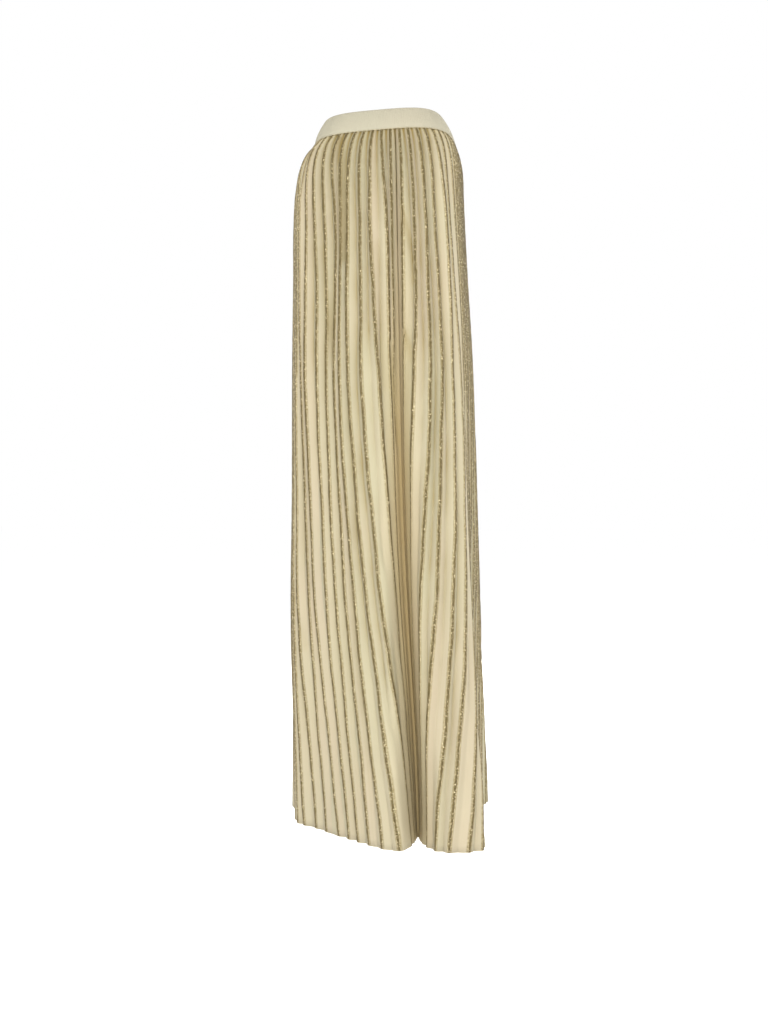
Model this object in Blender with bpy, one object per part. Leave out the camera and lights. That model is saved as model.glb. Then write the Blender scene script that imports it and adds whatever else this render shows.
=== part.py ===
"""Pleated maxi skirt, worn: a knitted waistband over a front and a back panel of accordion pleats.

The skirt keeps the form that it has on a wearer who stands with arms free of it: open at the
waist and at the hem, hollow, held up by the waistband alone.

Frame: metres, +Z up, origin at the middle of the waistband. The front of the skirt faces -Y and
the wearer's left side is at +X. Sizes in the tables are in millimetres.

How the form is made: at each height a smooth loop runs round the crests of the pleats. It is a
rounded box whose reaches and corners come from SECTIONS. FOLDS presses the large grooves into it
and pulls the large flutes out of it. The crests stand on that loop, each a pleat's width from the
last, and between two crests the cloth goes in to a valley. The inner face of the cloth is the
same zigzag, moved in by the thickness of the cloth.
"""

import math

import bpy
import numpy as np

MM = 0.001

# ---------------------------------------------------------------- driving sizes, in millimetres

BAND_HEIGHT = 28.0       # waistband, top edge to the seam
BAND_THICK = 3.0         # two layers of ribbed knit over elastic
BAND_LEAN = 10.0         # how far the top edge of the band leans in past its seam
BAND_LEAN_CURVE = 1.6    # 1 is a straight lean, and more keeps the band upright near its seam
BAND_BACKWARD = 3.0      # how much further back the top edge sits than the seam
BAND_ROUND = 0.8         # rounding of the band's long edges
BAND_COLUMNS = 112       # points round the band
WAIST_SLOPE = 0.051      # rise of the waist from back to front, as a share of the distance

CLOTH_THICK = 1.3        # one layer of the pleated knit
MITRE_MOST = 2.9         # the wall's greatest thickness, across the point of a fold
SEAM_GAP = 0.3           # between two pieces that are sewn to each other

PLEATS_A_PANEL = 32      # 64 round the skirt
FLANK = 14.0             # cloth from a crest to the next valley
CREST_HALF = 1.3         # half the width of the metallic rib that stands on each crest
VALLEY_LEAST = 2.5       # a pleat that is pulled wide open still dips this much
VALLEY_SHARE = 0.75      # and a narrow one is never deeper than this share of its width

SKIRT_LENGTH = 898.0     # waist seam to hem
LOOP_POINTS = 2400       # points on the smooth loop before the pleats are set on it
CORNER_SOFT = 9.0        # radius that rounds the corners of a section
FOLD_SOFT = 3.0          # radius that rounds the edges of a fold

# A row for each section, in millimetres: its distance below the waist seam, the reach of the
# crests to the front, back, wearer's right and wearer's left, the squareness of the corners
# (1 is a straight cut across, 2 is round, more is boxy) with that of the back right corner on
# its own, how far in front of the origin the skirt is widest, and the greatest depth of a pleat.
SECTION_COLUMNS = (
    "below_seam", "front", "back", "right", "left",
    "square", "square_back_right", "widest_ahead", "pleat_depth",
)
SECTIONS = (
    (0, 91, 92, 112, 112, 3.5, 3.4, 0, 3.5),
    (12, 95, 103, 117, 117, 3.5, 3.2, 0, 6.0),
    (30, 98, 112, 123, 122, 3.5, 3.0, 0, 8.0),
    (60, 99, 119, 130, 128, 3.5, 2.7, 0, 9.5),
    (110, 101, 123, 137, 134, 3.5, 2.4, 0, 10.0),
    (180, 105, 124, 144, 140, 3.5, 2.2, 0, 10.0),
    (270, 110, 126, 150, 147, 3.6, 2.0, 2, 10.0),
    (370, 113, 128, 155, 154, 3.7, 1.8, 5, 10.0),
    (480, 115, 130, 161, 163, 3.8, 1.6, 10, 10.0),
    (590, 117, 132, 166, 173, 3.9, 1.45, 16, 10.0),
    (700, 117, 132, 172, 182, 4.0, 1.3, 22, 10.0),
    (800, 117, 130, 178, 190, 4.0, 1.22, 27, 10.0),
    (898, 118, 128, 183, 196, 4.0, 1.15, 31, 10.0),
)

# A row for each large fold. Bearings are in degrees round the wearer, from the right side (0)
# towards the back (90). The last four columns are how far the cloth is pressed in, in
# millimetres, at FOLD_HEIGHTS below the seam. A flute is pulled out, so its numbers are negative.
FOLD_COLUMNS = (
    "name", "half_width", "bearing_hip", "bearing_knee", "bearing_hem",
    "in_hip", "in_thigh", "in_knee", "in_hem",
)
FOLD_HEIGHTS = {"hip": 150.0, "thigh": 330.0, "knee": 600.0, "hem": 898.0}
FOLDS = (
    ("right_groove", 13, -12, -14, -19.5, 9, 24, 46, 86),
    ("front_right_flute", 32, -36, -37, -36, -6, -11, -19, -37),
    ("back_right_flute", 24, 42, 62, 72, -7, -8, -8, -8),
    ("back_left_flute", 45, 116, 120, 124, 0, -4, -8, -18),
    ("front_left_flute", 40, -140, -143, -146, 0, -3, -7, -16),
    ("left_groove", 15, 168, 174, 180, 4, 12, 24, 44),
    ("front_groove", 17, -80, -78, -76, 0, 4, 8, 16),
    ("front_left_groove", 16, -112, -110, -108, 0, 3, 8, 18),
    ("back_groove", 16, 96, 98, 100, 0, 3, 7, 14),
)

# A row for each pleat of the wearer's right side, counted from the side seam: the width from the
# crest before it (from the seam, for the first), with a column for each of PLEAT_HEIGHTS. At the
# waist seam all pleats are equal, and the other pleats share what is left of each panel.
PLEAT_HEIGHTS = {"hip": 90.0, "thigh": 330.0, "knee": 600.0, "hem": 898.0}
BACK_PLEATS = (
    (6, 7, 7, 8),
    (8, 7, 7, 12),
    (20, 19, 13, 14),
    (13, 22, 27, 19),
    (16, 19, 20, 32),
    (10, 13, 20, 27),
    (8, 8, 15, 24),
    (15, 14, 19, 23),
    (15, 17, 20, 21),
    (15, 22, 26, 22),
    (18, 8, 15, 31),
    (14, 15, 24, 25),
    (12, 14, 14, 26),
)
FRONT_PLEATS = (
    (7, 7, 7, 8),
    (15, 21, 13, 12),
    (14, 21, 25, 14),
    (13, 15, 20, 21),
    (19, 18, 23, 24),
    (9, 23, 19, 20),
    (24, 26, 27, 24),
    (15, 22, 25, 22),
)
UNEVEN = 0.30            # how much the widths of the other pleats vary at the hem
UNEVEN_TURN = 2.4        # radians from one of those pleats to the next, in that variation

# Finishes: colour and roughness.
PLEATED_KNIT = ((0.72, 0.64, 0.45, 1.0), 0.75)
BAND_KNIT = ((0.66, 0.60, 0.46, 1.0), 0.85)


# ---------------------------------------------------------------- curves

def smooth_between(rows, heights, below):
    """The rows' values at one height, on a curve that passes through every row."""
    rows = np.asarray(rows, float)
    heights = np.asarray(heights, float)
    slopes = np.gradient(rows, heights, axis=0)
    k = int(np.clip(np.searchsorted(heights, below) - 1, 0, len(heights) - 2))
    span = heights[k + 1] - heights[k]
    t = min(max((below - heights[k]) / span, 0.0), 1.0)
    start = (2 * t**3 - 3 * t**2 + 1) * rows[k] + (t**3 - 2 * t**2 + t) * span * slopes[k]
    end = (3 * t**2 - 2 * t**3) * rows[k + 1] + (t**3 - t**2) * span * slopes[k + 1]
    return start + end


def section_at(below):
    """The values of SECTION_COLUMNS, apart from the first, at a height."""
    table = np.array(SECTIONS, float)
    values = smooth_between(table[:, 1:], table[:, 0], below)
    return dict(zip(SECTION_COLUMNS[1:], values))


def rounded_box(size):
    """A closed loop from the wearer's right round by the back, left and front.

    Each quarter is a superellipse between two of the four reaches.
    """
    turn = np.linspace(0, 2 * math.pi, LOOP_POINTS, endpoint=False)
    across, along = np.cos(turn), np.sin(turn)
    back_right = (across > 0) & (along > 0)
    power = 2 / np.where(back_right, size["square_back_right"], size["square"])
    reach_x = np.where(across > 0, size["right"], size["left"])
    ahead = size["widest_ahead"]
    reach_y = np.where(along > 0, size["back"] + ahead, size["front"] - ahead)
    x = -np.sign(across) * np.abs(across) ** power * reach_x
    y = np.sign(along) * np.abs(along) ** power * reach_y - ahead
    return np.stack([x, y], axis=1)


def runs_of(loop):
    """The run along a closed loop to each point, and to its first point again."""
    steps = np.linalg.norm(np.roll(loop, -1, axis=0) - loop, axis=1)
    return np.concatenate([[0.0], np.cumsum(steps)])


def at_runs(loop, wanted, values=None):
    """Points of a closed loop, or values that belong to its points, at the wanted runs."""
    runs = runs_of(loop)
    values = loop if values is None else values
    closed = np.vstack([values, values[:1]])
    wanted = np.mod(wanted, runs[-1])
    return np.stack([np.interp(wanted, runs, closed[:, axis]) for axis in range(2)], axis=1)


def even_out(loop):
    """The same loop with its points an equal run apart, and the length of the loop."""
    length = runs_of(loop)[-1]
    return at_runs(loop, np.arange(LOOP_POINTS) * length / LOOP_POINTS), length


def soften(loop, length, radius):
    """Round a loop off: each point becomes the bell-weighted mean of its neighbours."""
    waves = np.fft.fftfreq(LOOP_POINTS, length / LOOP_POINTS)
    keep = np.exp(-2 * (math.pi * waves * radius) ** 2)
    flat = np.fft.ifft(np.fft.fft(loop[:, 0] + 1j * loop[:, 1]) * keep)
    return np.stack([flat.real, flat.imag], axis=1)


def outward(loop):
    """Unit vectors that point out of a loop which runs right, back, left, front."""
    tangent = np.roll(loop, -1, axis=0) - np.roll(loop, 1, axis=0)
    tangent /= np.linalg.norm(tangent, axis=1)[:, None]
    return np.stack([-tangent[:, 1], tangent[:, 0]], axis=1)


def nearest_bearing(loop, degrees):
    """The index of the loop's point at a bearing from the right side towards the back."""
    bearing = np.degrees(np.arctan2(loop[:, 1], -loop[:, 0]))
    return int(np.argmin(np.abs((bearing - degrees + 180) % 360 - 180)))


def crest_loop(below):
    """The loop through the crests at a height, and where its two side seams lie.

    Each fold moves the loop in by its depth times a bell of its half width.
    """
    loop, length = even_out(rounded_box(section_at(below)))
    loop = soften(loop, length, CORNER_SOFT)
    place = np.arange(LOOP_POINTS) * length / LOOP_POINTS
    levels = np.array([0.0, *FOLD_HEIGHTS.values()])
    inward = np.zeros(LOOP_POINTS)
    centres = {}
    for row in FOLDS:
        fold = dict(zip(FOLD_COLUMNS, row))
        depths = (0.0, fold["in_hip"], fold["in_thigh"], fold["in_knee"], fold["in_hem"])
        bearings = (fold["bearing_hip"], fold["bearing_hip"], fold["bearing_knee"], fold["bearing_hem"])
        depth = smooth_between(depths, levels, below)
        bearing = smooth_between(bearings, levels[[0, 1, 3, 4]], below)
        centre = nearest_bearing(loop, bearing)
        away = (place - place[centre] + length / 2) % length - length / 2
        inward += depth * np.exp(-(away / fold["half_width"]) ** 2)
        centres[fold["name"]] = centre
    loop = loop - outward(loop) * inward[:, None]
    runs = runs_of(loop)
    right_seam, left_seam = runs[centres["right_groove"]], runs[centres["left_groove"]]
    loop = soften(even_out(loop)[0], runs[-1], FOLD_SOFT)
    scale = runs_of(loop)[-1] / runs[-1]
    return loop, right_seam * scale, left_seam * scale


# ---------------------------------------------------------------- pleats

def pleat_widths(in_view, panel_run, below):
    """The run from the seam to the first crest, then from crest to crest, then to the far seam."""
    count = PLEATS_A_PANEL + 1
    order = np.arange(count)
    even = np.where((order == 0) | (order == count - 1), 0.5, 1.0)
    equal = even * panel_run / even.sum()
    table = np.vstack([equal[:len(in_view)], np.array(in_view, float).T])
    shown = smooth_between(table, (0.0, *PLEAT_HEIGHTS.values()), below)
    grown = below / SKIRT_LENGTH
    shares = even * (1 + UNEVEN * grown * np.sin(UNEVEN_TURN * order))
    shares = shares[len(in_view):]
    rest = shares * (panel_run - shown.sum()) / shares.sum()
    return np.concatenate([shown, rest])


def panel_columns(in_view, panel_run, below):
    """Runs from the seam, and depths in from the loop, of a panel's columns of points.

    A valley lies on each seam. Each crest has two columns, one at each side of its rib, and
    each gap between crests has one, at the bottom of its valley.
    """
    widths = pleat_widths(in_view, panel_run, below)
    crests = np.cumsum(widths)[:-1]
    valleys = np.concatenate([[0.0], (crests[1:] + crests[:-1]) / 2, [panel_run]])
    gaps = np.concatenate([[2 * widths[0]], widths[1:-1], [2 * widths[-1]]])
    stretched = np.sqrt(np.maximum(FLANK**2 - (gaps / 2) ** 2, VALLEY_LEAST**2))
    depth = np.minimum(stretched, section_at(below)["pleat_depth"])
    depth = np.minimum(depth, VALLEY_SHARE * gaps)
    runs = np.empty(3 * PLEATS_A_PANEL + 1)
    deep = np.zeros(3 * PLEATS_A_PANEL + 1)
    runs[0::3] = valleys
    runs[1::3] = crests - CREST_HALF
    runs[2::3] = crests + CREST_HALF
    deep[0::3] = depth
    return runs, deep


def zigzag(below):
    """The outer and the inner points of the pleated cloth at a height, right round."""
    loop, right_seam, left_seam = crest_loop(below)
    length = runs_of(loop)[-1]
    back_run = (left_seam - right_seam) % length
    front_run = length - back_run
    back_runs, back_deep = panel_columns(BACK_PLEATS, back_run, below)
    front_runs, front_deep = panel_columns(FRONT_PLEATS, front_run, below)
    runs = np.concatenate([back_runs[:-1], length - front_runs[:0:-1]]) + right_seam
    deep = np.concatenate([back_deep[:-1], front_deep[:0:-1]])
    outer = at_runs(loop, runs) - at_runs(loop, runs, outward(loop)) * deep[:, None]
    return outer, moved_in(outer)


def moved_in(outer):
    """A closed zigzag moved in by the thickness of the cloth, mitred at each point."""
    ahead = np.roll(outer, -1, axis=0) - outer
    ahead /= np.linalg.norm(ahead, axis=1)[:, None]
    side = np.stack([-ahead[:, 1], ahead[:, 0]], axis=1)
    mean = side + np.roll(side, 1, axis=0)
    mean /= np.linalg.norm(mean, axis=1)[:, None]
    cosine = np.sum(mean * side, axis=1)
    mitre = CLOTH_THICK / np.maximum(cosine, CLOTH_THICK / MITRE_MOST)
    return outer - mean * mitre[:, None]


def height_of(points, below):
    """Heights of points a distance below the seam, on a waist that slopes and a level hem."""
    slope = WAIST_SLOPE * (1 - below / SKIRT_LENGTH)
    return -BAND_HEIGHT / 2 - below - slope * points[:, 1]


# ---------------------------------------------------------------- solids

def add_solid(name, vertices, faces, finish):
    """A mesh object of its own, with a material of its own."""
    colour, roughness = finish
    mesh = bpy.data.meshes.new(name)
    mesh.from_pydata((np.asarray(vertices) * MM).tolist(), [], faces)
    mesh.validate()
    mesh.update()
    material = bpy.data.materials.new(name + "_cloth")
    material.use_nodes = True
    shader = material.node_tree.nodes["Principled BSDF"]
    shader.inputs["Base Color"].default_value = colour
    shader.inputs["Roughness"].default_value = roughness
    shader.inputs["Metallic"].default_value = 0.0
    mesh.materials.append(material)
    thing = bpy.data.objects.new(name, mesh)
    bpy.context.collection.objects.link(thing)
    return thing


def cloth_wall(outer_rows, inner_rows):
    """Vertices and faces of a wall between two grids of points, closed along its four edges.

    The rows go down, and the columns go from the wearer's right round by the back. Each square is
    split along its shorter diagonal, the same one outside and inside, so that the two faces of the
    cloth stay apart where a pleat leans. The two end faces are split alike too, which keeps the
    gap at a seam even.
    """
    rows, columns, _ = outer_rows.shape
    vertices = np.concatenate([outer_rows.reshape(-1, 3), inner_rows.reshape(-1, 3)])
    inner = rows * columns

    def at(row, column, side=0):
        return side + row * columns + column

    faces = []
    for row in range(rows - 1):
        for column in range(columns - 1):
            a, b = at(row, column), at(row, column + 1)
            c, d = at(row + 1, column + 1), at(row + 1, column)
            falling = np.linalg.norm(vertices[a] - vertices[c])
            rising = np.linalg.norm(vertices[b] - vertices[d])
            halves = ((a, b, c), (a, c, d)) if falling < rising else ((a, b, d), (b, c, d))
            for first, second, third in halves:
                faces += [(first, second, third), (inner + first, inner + third, inner + second)]
    for column in range(columns - 1):
        a, b = at(0, column), at(0, column + 1)
        c, d = at(rows - 1, column + 1), at(rows - 1, column)
        faces += [(b, a, inner + a, inner + b), (d, c, inner + c, inner + d)]
    for row in range(rows - 1):
        a, d = at(row, 0), at(row + 1, 0)
        b, c = at(row, columns - 1), at(row + 1, columns - 1)
        faces += [(a, d, inner + d), (a, inner + d, inner + a)]
        faces += [(b, inner + c, c), (b, inner + b, inner + c)]
    return vertices, faces


def pull_in_edge(outer, inner, edge, neighbour):
    """Move an edge of the wall half a seam gap off the seam, square to the wall's end face."""
    through = inner[:, edge, :2] - outer[:, edge, :2]
    across = np.stack([-through[:, 1], through[:, 0]], axis=1)
    across /= np.linalg.norm(across, axis=1)[:, None]
    towards = outer[:, neighbour, :2] - outer[:, edge, :2]
    across *= np.sign(np.sum(across * towards, axis=1))[:, None]
    for points in (outer, inner):
        points[:, edge, :2] += across * SEAM_GAP / 2


def make_panels():
    """The back panel and the front panel, one from each half of the zigzag's columns."""
    half = 3 * PLEATS_A_PANEL
    outer_rows, inner_rows = [], []
    for below, *_ in SECTIONS:
        outer, inner = zigzag(below)
        top_gap = SEAM_GAP if below == 0 else 0.0
        height = height_of(outer, below) - top_gap
        outer_rows.append(np.column_stack([outer, height]))
        inner_rows.append(np.column_stack([inner, height]))
    outer_rows, inner_rows = np.array(outer_rows), np.array(inner_rows)
    back = np.arange(0, half + 1)
    front = np.append(np.arange(half, 2 * half), 0)
    for name, columns in (("skirt_back", back), ("skirt_front", front)):
        outer, inner = outer_rows[:, columns], inner_rows[:, columns]
        pull_in_edge(outer, inner, 0, 1)
        pull_in_edge(outer, inner, -1, -2)
        vertices, faces = cloth_wall(outer, inner)
        add_solid(name, vertices, faces, PLEATED_KNIT)


def make_waistband():
    """A closed ring: the waist loop, leaning in towards its top, with rounded long edges."""
    loop, _, _ = crest_loop(0)
    length = runs_of(loop)[-1]
    places = np.arange(BAND_COLUMNS) * length / BAND_COLUMNS
    ring = at_runs(loop, places)
    out = at_runs(loop, places, outward(loop))
    low, high = BAND_ROUND, BAND_HEIGHT - BAND_ROUND
    profile = (
        # height above the seam, depth in from the outer face
        (0.0, BAND_ROUND), (low, 0.0), (BAND_HEIGHT / 3, 0.0), (2 * BAND_HEIGHT / 3, 0.0),
        (high, 0.0), (BAND_HEIGHT, BAND_ROUND), (BAND_HEIGHT, BAND_THICK - BAND_ROUND),
        (high, BAND_THICK), (2 * BAND_HEIGHT / 3, BAND_THICK), (BAND_HEIGHT / 3, BAND_THICK),
        (low, BAND_THICK), (0.0, BAND_THICK - BAND_ROUND),
    )
    vertices = []
    for above, depth in profile:
        lean = (above / BAND_HEIGHT) ** BAND_LEAN_CURVE
        points = ring - out * (depth + BAND_LEAN * lean)
        points[:, 1] += BAND_BACKWARD * lean
        height = above - BAND_HEIGHT / 2 - WAIST_SLOPE * points[:, 1]
        vertices.append(np.column_stack([points, height]))
    rings = len(profile)
    faces = []
    for this in range(rings):
        after = (this + 1) % rings
        for column in range(BAND_COLUMNS):
            beside = (column + 1) % BAND_COLUMNS
            faces.append((this * BAND_COLUMNS + beside, this * BAND_COLUMNS + column,
                          after * BAND_COLUMNS + column, after * BAND_COLUMNS + beside))
    add_solid("waistband", np.concatenate(vertices), faces, BAND_KNIT)


for old in list(bpy.data.objects):
    bpy.data.objects.remove(old)

make_waistband()
make_panels()
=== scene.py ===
# %% [markdown]
# # A pleated maxi skirt in fine knit, with a metallic rib along every pleat
#
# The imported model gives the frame: a waistband, a back panel and a front panel, all at their real
# size. This lesson dresses them. The cloth becomes thin shells with soft valleys, a raised gold
# rib runs down each crest, and the band becomes a ribbed knit ring. Every surface is a formula on
# a grid of two parameters, so each step is a few lines of numpy.

# %% Load the frame
import math

import bpy
import numpy as np
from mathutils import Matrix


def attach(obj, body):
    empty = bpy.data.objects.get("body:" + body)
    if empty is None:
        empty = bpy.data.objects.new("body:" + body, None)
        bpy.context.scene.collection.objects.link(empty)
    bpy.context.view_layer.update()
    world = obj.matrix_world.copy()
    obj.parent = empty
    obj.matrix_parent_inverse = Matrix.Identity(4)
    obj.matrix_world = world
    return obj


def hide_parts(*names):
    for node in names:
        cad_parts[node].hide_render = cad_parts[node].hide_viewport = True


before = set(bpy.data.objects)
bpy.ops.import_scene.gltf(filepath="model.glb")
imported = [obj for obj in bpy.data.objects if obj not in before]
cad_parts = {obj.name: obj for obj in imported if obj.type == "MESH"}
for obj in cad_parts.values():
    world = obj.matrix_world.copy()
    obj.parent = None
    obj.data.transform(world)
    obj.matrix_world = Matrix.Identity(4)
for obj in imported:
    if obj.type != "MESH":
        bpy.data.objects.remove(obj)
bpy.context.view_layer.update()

# %% [markdown]
# ## The camera
#
# The view is level, from the right side of the skirt, as worn, and a little in front, two metres
# away. A level camera keeps upright things upright. It stands about half way down the skirt, so
# it looks up at the band and down at the hem, and that is why both look curved. The lens is given
# in millimetres on a 36 mm sensor, as on a real camera.

# %% Camera
CAMERA_PLACE = (-1.9826, -0.2632, -0.499)
VIEW_LEFT_OF_X = math.radians(7.7)     # the view direction, turned from +X towards +Y
LENS_MM = 52.4

camera = bpy.data.objects.new("camera", bpy.data.cameras.new("camera"))
camera.data.lens = LENS_MM
camera.data.sensor_width = 36.0
camera.location = CAMERA_PLACE
camera.rotation_euler = (math.pi / 2, 0, VIEW_LEFT_OF_X - math.pi / 2)
bpy.context.collection.objects.link(camera)
bpy.context.scene.camera = camera
print("camera at", CAMERA_PLACE)

# %% [markdown]
# ## The form of the skirt
#
# A pleated skirt hangs as a smooth tube through the crests of its pleats. At each height the tube
# is a rounded box, with a few large folds pressed in or pulled out. These are the part's own
# sizes, in millimetres, so the cloth lies on its solids.

# %% Sizes of the form
MM = 0.001
BAND_HEIGHT = 28.0
BAND_THICK = 3.0
BAND_LEAN = 10.0         # how far the band's top edge leans in
BAND_LEAN_CURVE = 1.6    # 1 is a straight lean, and more bends it towards the top
BAND_TAPER = 0.042       # how much narrower the band's top edge is, front to back, besides
WAIST_SLOPE = 0.051      # how much the waist rises towards the front
SKIRT_LENGTH = 898.0     # from the waist seam to the hem
PLEATS_A_PANEL = 32
FLANK = 14.0             # cloth from a crest to the next valley
VALLEY_LEAST = 2.5       # the depth of a valley where its gap takes all the cloth
VALLEY_SHARE = 0.75      # the greatest depth of a valley, as a share of its gap
LOOP_POINTS = 2400
CORNER_SOFT = 9.0        # how far the corners are softened along the loop
FOLD_SOFT = 3.0          # and the folds
WIDTH_UNEVEN = 0.30      # how much the widths differ at the hem, out of view
WIDTH_TURN = 2.4

# A row for each section: distance below the waist seam, the reach of the crests to the front,
# back, right and left, as worn, the squareness of the corners and of the back right one, how far
# in front of the origin the skirt is widest, and the greatest depth of a pleat.
SECTION_COLUMNS = (
    "below_seam", "front", "back", "right", "left",
    "square", "square_back_right", "widest_ahead", "pleat_depth",
)
SECTIONS = (
    (0, 91, 92, 112, 112, 3.5, 3.4, 0, 3.5),
    (12, 95, 103, 117, 117, 3.5, 3.2, 0, 6.0),
    (30, 98, 112, 123, 122, 3.5, 3.0, 0, 8.0),
    (60, 99, 119, 130, 128, 3.5, 2.7, 0, 9.5),
    (110, 101, 123, 137, 134, 3.5, 2.4, 0, 10.0),
    (180, 105, 124, 144, 140, 3.5, 2.2, 0, 10.0),
    (270, 110, 126, 150, 147, 3.6, 2.0, 2, 10.0),
    (370, 113, 128, 155, 154, 3.7, 1.8, 5, 10.0),
    (480, 115, 130, 161, 163, 3.8, 1.6, 10, 10.0),
    (590, 117, 132, 166, 173, 3.9, 1.45, 16, 10.0),
    (700, 117, 132, 172, 182, 4.0, 1.3, 22, 10.0),
    (800, 117, 130, 178, 190, 4.0, 1.22, 27, 10.0),
    (898, 118, 128, 183, 196, 4.0, 1.15, 31, 10.0),
)

# A row for each large fold. Bearings are in degrees from the right side towards the back,
# and the last four columns say how far the cloth goes in at each of FOLD_HEIGHTS.
FOLD_COLUMNS = (
    "name", "half_width", "bearing_hip", "bearing_knee", "bearing_hem",
    "in_hip", "in_thigh", "in_knee", "in_hem",
)
FOLD_HEIGHTS = {"hip": 150.0, "thigh": 330.0, "knee": 600.0, "hem": 898.0}
FOLDS = (
    ("right_groove", 13, -12, -14, -19.5, 9, 24, 46, 86),
    ("front_right_flute", 32, -36, -37, -36, -6, -11, -19, -37),
    ("back_right_flute", 24, 42, 62, 72, -7, -8, -8, -8),
    ("back_left_flute", 45, 116, 120, 124, 0, -4, -8, -18),
    ("front_left_flute", 40, -140, -143, -146, 0, -3, -7, -16),
    ("left_groove", 15, 168, 174, 180, 4, 12, 24, 44),
    ("front_groove", 17, -80, -78, -76, 0, 4, 8, 16),
    ("front_left_groove", 16, -112, -110, -108, 0, 3, 8, 18),
    ("back_groove", 16, 96, 98, 100, 0, 3, 7, 14),
)

# A row for each pleat of the skirt's right side, from the side seam outwards: its width at each
# of PLEAT_HEIGHTS.
PLEAT_HEIGHTS = {"hip": 90.0, "thigh": 330.0, "knee": 600.0, "hem": 898.0}
BACK_PLEATS = (
    (6, 7, 7, 8),
    (8, 7, 7, 12),
    (20, 19, 13, 14),
    (13, 22, 27, 19),
    (16, 19, 20, 32),
    (10, 13, 20, 27),
    (8, 8, 15, 24),
    (15, 14, 19, 23),
    (15, 17, 20, 21),
    (15, 22, 26, 22),
    (18, 8, 15, 31),
    (14, 15, 24, 25),
    (12, 14, 14, 26),
)
FRONT_PLEATS = (
    (7, 7, 7, 8),
    (15, 21, 13, 12),
    (14, 21, 25, 14),
    (13, 15, 20, 21),
    (19, 18, 23, 24),
    (9, 23, 19, 20),
    (24, 26, 27, 24),
    (15, 22, 25, 22),
)
NAMED_FOLDS = {row[0]: dict(zip(FOLD_COLUMNS, row)) for row in FOLDS}
FOLD_LEVELS = np.array([0.0, *FOLD_HEIGHTS.values()])
print(len(SECTIONS), "sections,", len(FOLDS), "folds,", 2 * PLEATS_A_PANEL, "pleats")

# %% [markdown]
# A table gives the form at a few heights only. A smooth curve through its rows gives it at every
# height. Straight lines between the rows would leave a kink all round the skirt at each row.


# %% Curves through the tables
def on_curve(rows, heights, below):
    """The rows' values at many heights.

    Between two rows: a cubic with the rows' values and slopes at its ends, where the slope at a
    row is that of its neighbours.
    """
    heights = np.asarray(heights, float)
    rows = np.asarray(rows, float).reshape(len(heights), -1)
    slopes = np.gradient(rows, heights, axis=0)
    k = np.clip(np.searchsorted(heights, below) - 1, 0, len(heights) - 2)
    span = (heights[k + 1] - heights[k])[:, None]
    t = np.clip((below - heights[k])[:, None] / span, 0, 1)
    start = (2 * t**3 - 3 * t**2 + 1) * rows[k] + (t**3 - 2 * t**2 + t) * span * slopes[k]
    end = (3 * t**2 - 2 * t**3) * rows[k + 1] + (t**3 - t**2) * span * slopes[k + 1]
    return start + end


def sections_at(below):
    """The columns of SECTIONS at many heights, each as one column of numbers."""
    table = np.array(SECTIONS, float)
    values = on_curve(table[:, 1:], table[:, 0], below)
    return {name: values[:, [k]] for k, name in enumerate(SECTION_COLUMNS[1:])}


middle = np.array([SKIRT_LENGTH / 2])
print("half way down, the back reaches", round(float(sections_at(middle)["back"][0, 0]), 1), "mm")

# %% [markdown]
# Now the tube itself. A superellipse, |x/a|^n + |y/b|^n = 1, is a circle at n = 2 and a box at
# large n, so one exponent sets how square a corner is. The loops of all heights are worked out
# together, as one array with a row for each height.


# %% Loops round the skirt
def rounded_boxes(size):
    """Closed loops, right, back, left, front.

    x = -reach |cos t|^(2/n), y = reach |sin t|^(2/n) - ahead, each with its own sign and reach.
    """
    turn = np.linspace(0, 2 * math.pi, LOOP_POINTS, endpoint=False)
    across, along = np.cos(turn), np.sin(turn)
    back_right = (across > 0) & (along > 0)
    power = 2 / np.where(back_right, size["square_back_right"], size["square"])
    ahead = size["widest_ahead"]
    reach_x = np.where(across > 0, size["right"], size["left"])
    reach_y = np.where(along > 0, size["back"] + ahead, size["front"] - ahead)
    x = -np.sign(across) * np.abs(across) ** power * reach_x
    y = np.sign(along) * np.abs(along) ** power * reach_y - ahead
    return np.stack([x, y], axis=-1)


def runs_of(loops):
    """The run along each loop to each of its points, and to its first point again."""
    steps = np.linalg.norm(np.roll(loops, -1, axis=1) - loops, axis=2)
    return np.concatenate([np.zeros((len(loops), 1)), np.cumsum(steps, axis=1)], axis=1)


def at_runs(loops, wanted, values=None):
    """Points of each loop, or values that belong to its points, at that row's wanted runs."""
    runs = runs_of(loops)
    values = loops if values is None else values
    closed = np.concatenate([values, values[:, :1]], axis=1)
    found = np.empty(wanted.shape + (2,))
    for row, run in enumerate(runs):
        here = np.mod(wanted[row], run[-1])
        for axis in range(2):
            found[row, :, axis] = np.interp(here, run, closed[row, :, axis])
    return found


def even_out(loops):
    """The same loops with their points an equal run apart, and their lengths."""
    lengths = runs_of(loops)[:, -1:]
    return at_runs(loops, np.arange(LOOP_POINTS) * lengths / LOOP_POINTS), lengths


def soften(loops, lengths, radius):
    """Each point becomes the bell-weighted mean of its neighbours.

    In waves along the loop: each wave of frequency f is kept by exp(-2 (pi f radius)^2).
    """
    waves = np.fft.fftfreq(LOOP_POINTS, 1 / LOOP_POINTS) / lengths
    keep = np.exp(-2 * (math.pi * waves * radius) ** 2)
    flat = np.fft.ifft(np.fft.fft(loops[..., 0] + 1j * loops[..., 1]) * keep)
    return np.stack([flat.real, flat.imag], axis=-1)


def outward(loops):
    """Unit vectors square to each loop, pointing out of it."""
    tangent = np.roll(loops, -1, axis=1) - np.roll(loops, 1, axis=1)
    tangent /= np.linalg.norm(tangent, axis=2, keepdims=True)
    return np.stack([-tangent[..., 1], tangent[..., 0]], axis=-1)


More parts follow.
